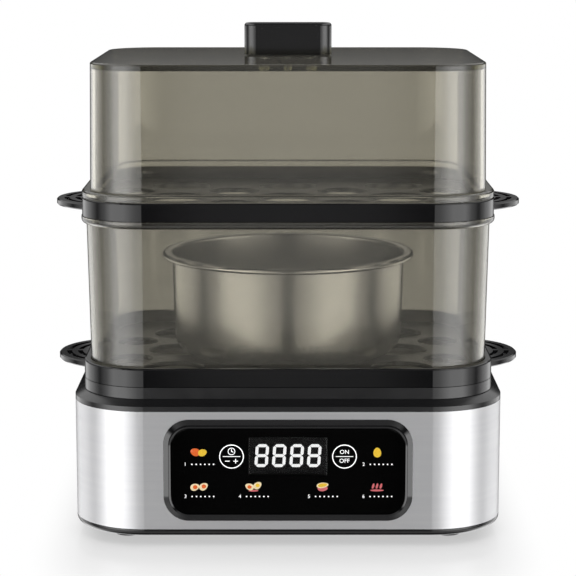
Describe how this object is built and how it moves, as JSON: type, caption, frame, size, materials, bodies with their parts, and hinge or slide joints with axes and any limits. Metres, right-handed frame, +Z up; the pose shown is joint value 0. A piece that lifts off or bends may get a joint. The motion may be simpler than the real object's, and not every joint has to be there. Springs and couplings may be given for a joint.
{
  "type": "egg boiler",
  "caption": "Countertop egg boiler: steel-wrapped base with a black control panel, stacked egg trays with side handles, clear steaming chamber, steel bowl and clear lid with a knob.",
  "frame": {"origin": "on the surface that the feet stand on, under the middle of the base", "axes": "+Z up, the control panel faces -Y, +X to the right seen from the front"},
  "size_m": [0.2388, 0.1774, 0.251],
  "materials": {
    "brushed_steel": "brushed",
    "satin_steel": "satin",
    "zinc_steel": "zinc plated",
    "black_gloss": "gloss",
    "lens_black": "polished",
    "black_matte": "fine grain",
    "smoke_clear": "clear, tinted",
    "foot_rubber": "matte",
    "seal_rubber": "matte",
    "spreader_aluminium": "as rolled",
    "element_steel": "heat dulled",
    "terminal_steel": "tinned",
    "bakelite": "moulded",
    "fuse_ceramic": "fired",
    "probe_steel": "satin",
    "light_white": "moulded",
    "module_grey": "moulded",
    "digit_white": "translucent",
    "board_green": "lacquered",
    "relay_blue": "moulded",
    "transformer_yellow": "taped",
    "can_black": "sleeved"
  },
  "bodies": {
    "base": {"base_sleeve": "brushed_steel", "heating_dish": "satin_steel", "base_screws": "zinc_steel", "dish_brackets": "zinc_steel", "dish_screws": "zinc_steel", "display_board_screws": "zinc_steel", "power_board_screws": "zinc_steel", "fuse_clip": "zinc_steel", "touch_springs": "zinc_steel", "top_shell": "black_gloss", "panel_bezel": "black_gloss", "panel_lens": "lens_black", "bottom_cover": "black_matte", "rear_plate": "black_matte", "cord_gland": "black_matte", "gland_nut": "black_matte", "buzzer": "black_matte", "foot_front_left": "foot_rubber", "foot_front_right": "foot_rubber", "foot_rear_left": "foot_rubber", "foot_rear_right": "foot_rubber", "dish_seal": "seal_rubber", "heat_spreader": "spreader_aluminium", "heating_element": "element_steel", "element_terminals": "terminal_steel", "thermostat": "bakelite", "thermal_fuse": "fuse_ceramic", "temperature_sensor": "probe_steel", "light_box": "light_white", "display_module": "module_grey", "digit_segments": "digit_white", "display_board": "board_green", "power_board": "board_green", "power_relay": "relay_blue", "terminal_block": "relay_blue", "power_transformer": "transformer_yellow", "filter_capacitor": "transformer_yellow", "smoothing_capacitor": "can_black"},
    "lower_tray": {"lower_tray": "black_gloss"},
    "bowl": {"bowl": "satin_steel"},
    "chamber": {"chamber": "smoke_clear"},
    "upper_tray": {"upper_tray": "black_gloss"},
    "lid": {"lid": "smoke_clear", "lid_knob": "black_gloss", "knob_seal": "seal_rubber", "knob_screws": "zinc_steel"}
  },
  "joints": [
    {"name": "lower_tray_lift", "type": "slide", "parent": "base", "child": "lower_tray", "axis": [0, 0, 1], "range_m": [0, 0.06]},
    {"name": "chamber_lift", "type": "slide", "parent": "lower_tray", "child": "chamber", "axis": [0, 0, 1], "range_m": [0, 0.07]},
    {"name": "upper_tray_lift", "type": "slide", "parent": "chamber", "child": "upper_tray", "axis": [0, 0, 1], "range_m": [0, 0.13]},
    {"name": "lid_lift", "type": "slide", "parent": "upper_tray", "child": "lid", "axis": [0, 0, 1], "range_m": [0, 0.08]},
    {"name": "bowl_lift", "type": "slide", "parent": "lower_tray", "child": "bowl", "axis": [0, 0, 1], "range_m": [0, 0.092]}
  ],
  "couplings": [
    {"joint": "bowl_lift", "follows": "upper_tray_lift", "ratio": 0.7}
  ]
}
